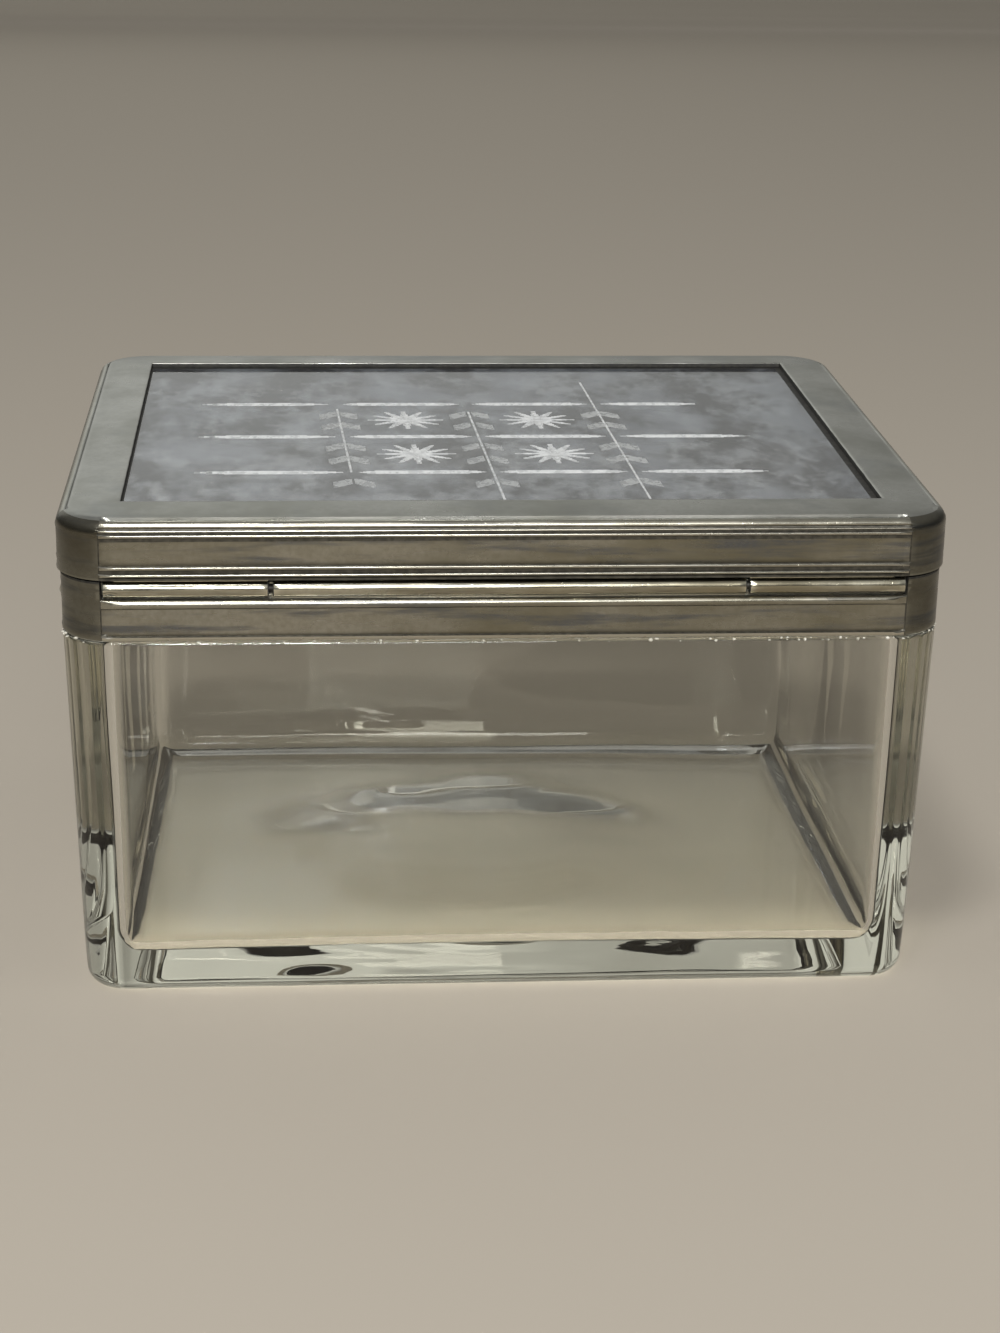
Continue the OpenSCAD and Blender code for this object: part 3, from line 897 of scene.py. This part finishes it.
def paneDepth(x, y):
    s = paneSizes
    x, y = x - s["latticeX"], y - s["latticeY"]
    pitch = s["cutPitch"]
    depth = max(acrossDepth(x, y - i * pitch, s["acrossRight"][i + 1]) for i in (-1, 0, 1))
    for i, (low, high) in zip((-1, 0, 1), s["stemEnds"]):
        side = x - i * pitch
        if abs(side) < 5 * mm:
            stem = spindle(y - (low + high) / 2, side, high - low, s["stemWidth"], s["stemDepth"], pointed=6)
            depth = max(depth, stem, leafDepth(side, y))
    for i in (-0.5, 0.5):
        for j in (-0.5, 0.5):
            depth = max(depth, starDepth(x - i * pitch, y - j * pitch))
    return depth


def onLeaf(x, y):
    # whether a cut place belongs to a leaf, and not to a stem, a star or a long cut
    s = paneSizes
    x, y = x - s["latticeX"], y - s["latticeY"]
    side = (x + s["cutPitch"] / 2) % s["cutPitch"] - s["cutPitch"] / 2
    off = (y + s["cutPitch"] / 2) % s["cutPitch"] - s["cutPitch"] / 2
    onLong = abs(off) < s["acrossWidth"] / 2 and abs(side) > s["stemGap"] and abs(y) < 1.5 * s["cutPitch"]
    return s["stemWidth"] / 2 < abs(side) < 4 * mm and not onLong


def gridLines(low, high, marks, cutLow, cutHigh):
    # lines through the marks, close together where there are cuts and wide apart elsewhere
    stops = sorted({low, high, cutLow, cutHigh, *marks})
    lines = [low]
    for here, there in zip(stops, stops[1:]):
        step = paneSizes["fineStep"] if cutLow <= here < cutHigh else paneSizes["coarseStep"]
        parts = max(1, round((there - here) / step))
        lines += [here + (there - here) * i / parts for i in range(1, parts + 1)]
    return lines


def paneGrid(s, seamLeft, seamRight, seamFar):
    # grid lines follow the middle and the edges of each cut, and the painted shade in the seam
    pitch, midX, midY, fine = s["cutPitch"], s["latticeX"], s["latticeY"], s["fineSide"]
    shares = (-0.5, 0, 0.5)
    edges = [k * s["stemWidth"] for k in shares]
    edges += [sign * (s["leafOut"] + k * s["leafHalf"]) for sign in (-1, 1) for k in (-1, 1)]
    marks = [seamLeft, seamRight] + [midX + i * pitch + edge for i in (-1, 0, 1) for edge in edges]
    xs = gridLines(paneLow.x, paneHigh.x, marks, midX - pitch - fine, midX + pitch + fine)
    marks = [seamFar] + [midY + i * pitch + k * s["acrossWidth"] for i in (-1, 0, 1) for k in shares]
    low, high = s["leafRows"][0] - 3 * mm, pitch + 1.5 * mm
    return xs, gridLines(paneLow.y, paneHigh.y, marks, midY + low, midY + high)


def buildPane(s):
    windowX, windowY = lidHigh.x - lidSizes["border"], lidHigh.y - lidSizes["border"]
    seamLeft, seamRight, seamFar = s["seamLeft"] - windowX, windowX - s["seamRight"], windowY - s["seamFar"]
    xs, ys = paneGrid(s, seamLeft, seamRight, seamFar)
    columns, rows = len(xs), len(ys)
    verts, faces, slots = [], [], []
    depths = {}
    for j, y in enumerate(ys):
        for i, x in enumerate(xs):
            depths[i, j] = paneDepth(x, y)
            slide = s["lean"] * (s["latticeY"] - y) * (1 - ease(abs(x), 30 * mm, 52 * mm))
            verts.append((x + slide, y, paneHigh.z - depths[i, j]))
    plain, cut, paintedSeam, leaf = range(4)
    near = 0.01 * mm
    for j in range(rows - 1):
        for i in range(columns - 1):
            a = j * columns + i
            faces.append((a, a + 1, a + columns + 1, a + columns))
            deepest = max(depths[i, j], depths[i + 1, j], depths[i, j + 1], depths[i + 1, j + 1])
            # the strips by the border are painted near-black as shade in the seam
            if xs[i] < seamLeft - near or xs[i + 1] > seamRight + near or ys[j + 1] > seamFar + near:
                slots.append(paintedSeam)
            elif deepest > s["cutEdge"]:
                slots.append(leaf if onLeaf((xs[i] + xs[i + 1]) / 2, (ys[j] + ys[j + 1]) / 2) else cut)
            else:
                slots.append(plain)
    rim = list(range(columns))
    rim += [j * columns + columns - 1 for j in range(1, rows)]
    rim += [(rows - 1) * columns + i for i in reversed(range(columns - 1))]
    rim += [j * columns for j in reversed(range(1, rows - 1))]
    start = len(verts)
    verts += [(verts[index][0], verts[index][1], paneLow.z) for index in rim]
    for i in range(len(rim)):
        k = (i + 1) % len(rim)
        faces.append((rim[k], rim[i], start + i, start + k))
    faces.append(tuple(reversed(range(start, start + len(rim)))))
    slots += [plain] * (len(rim) + 1)
    newPiece("cut_pane_plate", verts, faces, "lid", ["lid_pane"],
             [paneFinish, cutFinish, seamShadeFinish, leafFinish], sharp=24, faceMaterials=slots)
    print("pane:", len(verts), "points")


buildPane(paneSizes)


bezelSizes = {  # the strip and tabs that hold the pane
    "strip": 0.6 * mm,
    "round": 0.1 * mm,
    "cornerRadius": 0.8 * mm,
    "leastRadius": 0.15 * mm,
    "spacing": 6 * mm,
    "cornerSteps": 4,
    "tabWidth": 8 * mm,
    "tabReach": 2.8 * mm,
    "tabsLong": 4,
    "tabsShort": 3,
    "tabRound": 0.12 * mm,
    "tabShift": 0.4 * mm,  # each tab sits a little off its place
    "tabLift": 0.12 * mm,
}


def buildBezel(s):
    (halfX, halfY, high), low = bezelHigh, bezelLow.z
    strip, soft, radius = s["strip"], s["round"], s["cornerRadius"]
    stops = ringStations(halfX, halfY, radius, s["spacing"], s["cornerSteps"])
    section = [  # (inset, height) round the strip
        (soft, high), (0, high - soft), (0, low + soft), (soft, low),
        (strip - soft, low), (strip, low + soft), (strip, high),
    ]
    verts = []
    for inset, z in section:
        for stop in stops:
            x, y = ringSpot(stop, halfX, halfY, radius, inset, s["leastRadius"])
            verts.append((x, y, z))
    faces = ringFaces(len(section), len(stops))
    for sign in (-1, 1):
        for count, across in ((s["tabsLong"], False), (s["tabsShort"], True)):
            run = (halfY if across else halfX) * 2 - 2 * strip
            reach = (halfX if across else halfY) - 0.5 * strip
            for i in range(count):
                shift = s["tabShift"] * wobble(i, sign, count, 1.7, 31.0)
                lift = s["tabLift"] * (0.5 + 0.5 * wobble(i, count, sign, 2.3, 33.0))
                centre = (i + 0.5) * run / count - run / 2 + shift
                near, far = sorted((sign * reach, sign * (reach - s["tabReach"])))
                ends = centre - s["tabWidth"] / 2, centre + s["tabWidth"] / 2
                tabLow = (near, ends[0], low) if across else (ends[0], near, low)
                tabTop = low + strip - lift
                tabHigh = (far, ends[1], tabTop) if across else (ends[1], far, tabTop)
                addBlock(verts, faces, tabLow, tabHigh, s["tabRound"])
    newPiece("bezel_strip", verts, faces, "lid", ["pane_bezel"], [innerFinish], sharp=40)
    print("bezel made")


buildBezel(bezelSizes)


beddingSizes = {  # bedding under the collar, squeezed out in small beads
    "low": 58.7 * mm,
    "high": 59.0 * mm,
    "top": 65.0 * mm,
    "neckInset": 3.1 * mm,
    "neckPlay": 0.75 * mm,
    "spacing": 0.9 * mm,
    "cornerSteps": 16,
    "looseness": 0.25 * mm,
    "beads": 260,
    "beadLeast": 0.08,  # mm
    "beadMost": 0.26,
}


def buildBedding(s):
    halfX, halfY, radius = glassHigh.x, glassHigh.y, glassSizes["cornerRadius"]
    low, high, neck = s["low"], s["high"], s["neckInset"] - s["neckPlay"]
    stops = ringStations(halfX, halfY, radius, s["spacing"], s["cornerSteps"])
    section = [  # (inset, height, share of the looseness)
        (neck, low, 0), (0.5 * mm, low, 0.3), (0.28 * mm, low + 0.12 * mm, 1),
        (0.42 * mm, high - 0.02 * mm, 0.5), (1.0 * mm, high, 0), (1.0 * mm, s["top"], 0), (neck, s["top"], 0),
    ]
    verts = []
    for inset, z, loose in section:
        for stop in stops:
            x, y = ringSpot(stop, halfX, halfY, radius, inset)
            push = loose * s["looseness"] * wobble(x, y, z, 1.6 * mm, 41.0)
            x, y = ringSpot(stop, halfX, halfY, radius, inset + push)
            verts.append((x, y, z))
    faces = ringFaces(len(section), len(stops))
    scatter = random.Random(7)
    for _ in range(s["beads"]):
        stop = scatter.choice(stops)
        size = scatter.uniform(s["beadLeast"], s["beadMost"]) * mm
        x, y = ringSpot(stop, halfX, halfY, radius, scatter.uniform(-0.02, 0.12) * mm)
        z = low + scatter.uniform(-0.35, 0.1) * mm
        squash = Matrix.Diagonal((*(scatter.uniform(*r) for r in ((0.8, 1.6), (0.8, 1.2), (0.6, 1.1))), 1))
        bm = bmesh.new()
        bmesh.ops.create_icosphere(bm, subdivisions=2, radius=size)
        bmesh.ops.transform(bm, matrix=Matrix.Translation((x, y, z)) @ squash, verts=bm.verts)
        addShape(verts, faces, bm)
    newPiece("bedding_bead", verts, faces, "tray", ["rim_cement"], [cementFinish], sharp=60)
    print("bedding made")


buildBedding(beddingSizes)

# pieces kept as packed
for node, material, slotName in (("rim_ring", innerFinish, "inner_metal"),
                                 ("hinge_pin", pinFinish, "pin_steel")):
    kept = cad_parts[node]
    kept.data.materials.clear()
    kept.data.materials.append(material)


studioSizes = {
    "floorColour": (0.47, 0.42, 0.35),
    "cardBright": (0.70, 0.71, 0.68),
    "cardDim": (0.36, 0.36, 0.34),
    "skyColour": (0.86, 0.86, 0.85),
    "horizonColour": (0.24, 0.235, 0.215),
    "skyRise": (0.1, 0.8),  # the dim band ends and the full sky starts here
    "worldStrength": 0.44,
    "floorHalf": 4,
    "floorGap": 0.1 * mm,  # air under the glass foot, so that the two faces don't coincide
    "cardY": 1.4,  # a pale card that the lid and the glass foot reflect
    "cardHalf": 1.25,
    "cardLow": 0.04,
    "cardHigh": 1.1,
    "cardPatch": 0.3,  # size of its soft patches
    "lamps": [  # name, place, aim, width, height, power
        ("front above", (-0.16, -0.42, 0.9), (0, 0.0, 0.05), 0.14, 0.14, 2.8),
        ("front window", (-0.07, -1.15, 0.74), (0, 0, 0.05), 0.12, 0.3, 8.8),
        ("front gap", (0.03, -0.95, 0.46), (0, 0, 0.05), 0.14, 0.4, 1.4),
    ],
}


def stageMaterial(name, colour):
    f = Finish(name)
    f.shader.inputs["Roughness"].default_value = 0.85
    f.shader.inputs["Specular IOR Level"].default_value = 0.2
    f.shader.inputs["Base Color"].default_value = (*colour, 1)
    return f.material


def glowingCard(bright, dim, patch):
    # a soft screen that glows more at the left and less near the floor, in soft patches
    f = Finish("soft screen")
    f.shader.inputs["Base Color"].default_value = (0, 0, 0, 1)
    split = f.add("SeparateXYZ")
    f.link(f.spot, split.inputs[0])
    drift = f.sum(f.grain(patch, detail=1.0), 0.6, "MULTIPLY")
    glow = f.mix(f.span(f.sum(split.outputs["X"], drift), 0.15, 0.85), bright, dim)
    shaded = tuple(0.45 * c for c in dim)
    f.link(f.mix(f.span(split.outputs["Z"], 0.0, 0.42), shaded, glow), f.shader.inputs["Emission Color"])
    f.shader.inputs["Emission Strength"].default_value = 1.0
    return f.material


def stagePlane(name, corners, material):
    # four corners, one after the other
    mesh = bpy.data.meshes.new(name)
    mesh.from_pydata(corners, [], [(0, 1, 2, 3)])
    mesh.materials.append(material)
    plane = bpy.data.objects.new(name, mesh)
    bpy.context.scene.collection.objects.link(plane)


def softbox(name, spot, target, sizeX, sizeY, power):
    light = bpy.data.lights.new(name, "AREA")
    light.shape = "RECTANGLE"
    light.size, light.size_y = sizeX, sizeY
    light.energy = power
    lamp = bpy.data.objects.new(name, light)
    lamp.location = spot
    lamp.rotation_euler = (Vector(target) - Vector(spot)).to_track_quat("-Z", "Y").to_euler()
    bpy.context.scene.collection.objects.link(lamp)


def buildWorld(s):
    # a plain sky, dimmer near the horizon
    world = bpy.data.worlds.new("studio")
    world.use_nodes = True
    nodes, links = world.node_tree.nodes, world.node_tree.links
    background = nodes["Background"]
    background.inputs["Strength"].default_value = s["worldStrength"]
    rise = nodes.new("ShaderNodeSeparateXYZ")
    shade = nodes.new("ShaderNodeMapRange")
    shade.interpolation_type = "SMOOTHSTEP"
    shade.inputs["From Min"].default_value, shade.inputs["From Max"].default_value = s["skyRise"]
    sky = nodes.new("ShaderNodeMix")
    sky.data_type = "RGBA"
    sky.inputs[6].default_value = (*s["horizonColour"], 1)
    sky.inputs[7].default_value = (*s["skyColour"], 1)
    links.new(nodes.new("ShaderNodeTexCoord").outputs["Generated"], rise.inputs[0])
    links.new(rise.outputs["Z"], shade.inputs["Value"])
    links.new(shade.outputs["Result"], sky.inputs["Factor"])
    links.new(sky.outputs[2], background.inputs["Color"])
    bpy.context.scene.world = world


def buildStudio(s):
    floor = stageMaterial("pale floor", s["floorColour"])
    card = glowingCard(s["cardBright"], s["cardDim"], s["cardPatch"])
    far, low = s["floorHalf"], -s["floorGap"]
    corners = [(-far, -far, low), (far, -far, low), (far, far, low), (-far, far, low)]
    stagePlane("studio_floor", corners, floor)
    y, half, low, high = s["cardY"], s["cardHalf"], s["cardLow"], s["cardHigh"]
    stagePlane("studio_card", [(-half, y, low), (half, y, low), (half, y, high), (-half, y, high)], card)
    buildWorld(s)
    for lamp in s["lamps"]:
        softbox(*lamp)
    bpy.context.scene.view_settings.view_transform = "Standard"
    print("studio made")


buildStudio(studioSizes)


cameraSizes = {  # at the photograph's angle
    "spot": (-0.02987, -0.42961, 0.18672),
    "pitch": 19.38,  # degrees down
    "yaw": 4.40,  # degrees to the right
    "roll": 0.965,
    "lens": 71.57,
}


def buildCamera(s):
    pitch, yaw, roll = (math.radians(s[k]) for k in ("pitch", "yaw", "roll"))
    look = Vector((math.sin(yaw) * math.cos(pitch), math.cos(yaw) * math.cos(pitch), -math.sin(pitch)))
    right = Vector((math.cos(yaw), -math.sin(yaw), 0))
    up = right.cross(look)
    tiltRight = math.cos(roll) * right + math.sin(roll) * up
    tiltUp = -math.sin(roll) * right + math.cos(roll) * up
    camera = bpy.data.objects.new("camera", bpy.data.cameras.new("camera"))
    camera.data.lens = s["lens"]
    camera.data.sensor_width = 36
    camera.data.clip_start = 0.01
    turned = Matrix((tiltRight, tiltUp, -look)).transposed().to_4x4()
    camera.matrix_world = Matrix.Translation(s["spot"]) @ turned
    bpy.context.scene.collection.objects.link(camera)
    bpy.context.scene.camera = camera


buildCamera(cameraSizes)

cycles = bpy.context.scene.cycles  # light passes many glass faces before it leaves the tray
cycles.max_bounces = 28
cycles.transmission_bounces = 28
cycles.glossy_bounces = 10
cycles.transparent_max_bounces = 16
